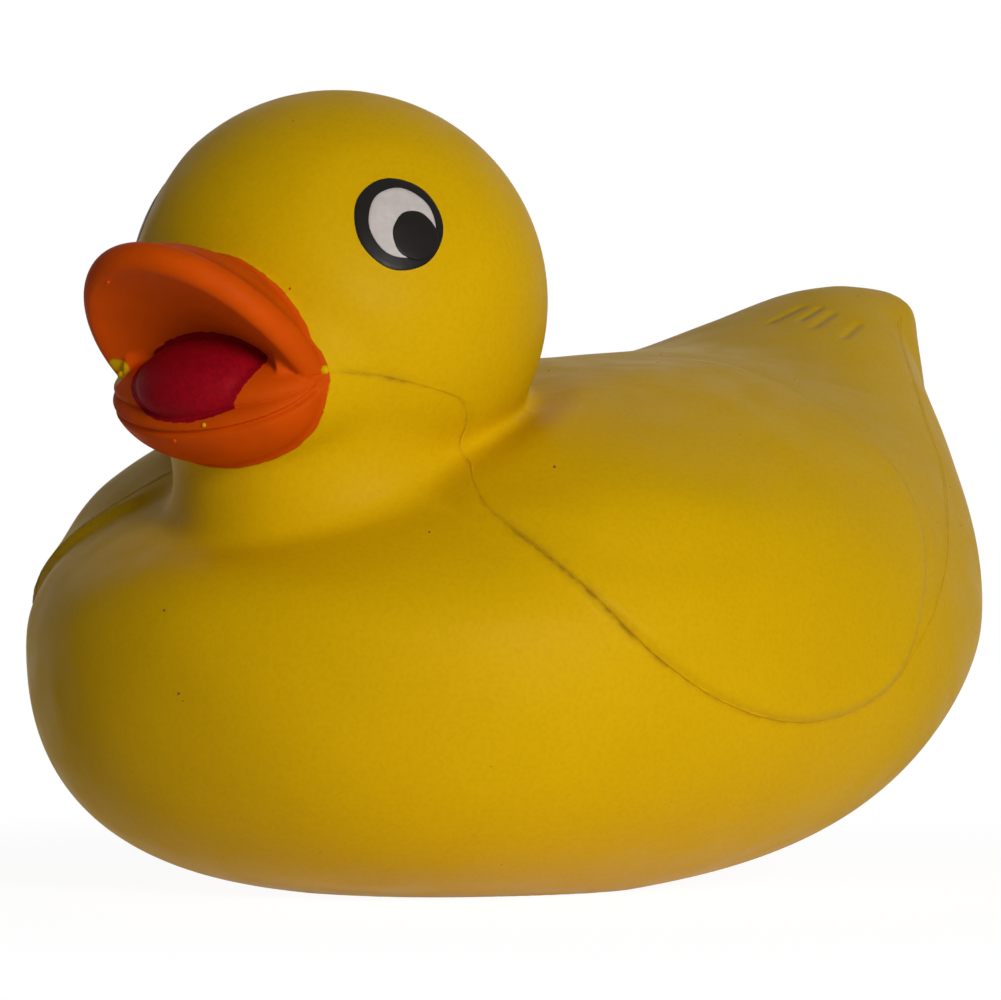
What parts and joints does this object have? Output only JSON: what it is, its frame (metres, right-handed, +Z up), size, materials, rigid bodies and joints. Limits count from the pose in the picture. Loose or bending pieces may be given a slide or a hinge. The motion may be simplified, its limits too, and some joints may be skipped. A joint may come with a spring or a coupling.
{
  "type": "duck stress ball",
  "caption": "Squeezable foam duck with a ball-shaped head, open painted bill, tongue, printed eyes and raised wings, resting on a flat base.",
  "frame": {"origin": "on the flat under the body, level with the widest part of the body, at z = 0", "axes": "+Z up, -Y towards the bill, +X towards the duck's left wing"},
  "size_m": [0.0666, 0.0919, 0.0589],
  "materials": {
    "foam": "satin"
  },
  "bodies": {
    "root": {"duck": "foam"}
  },
  "joints": []
}
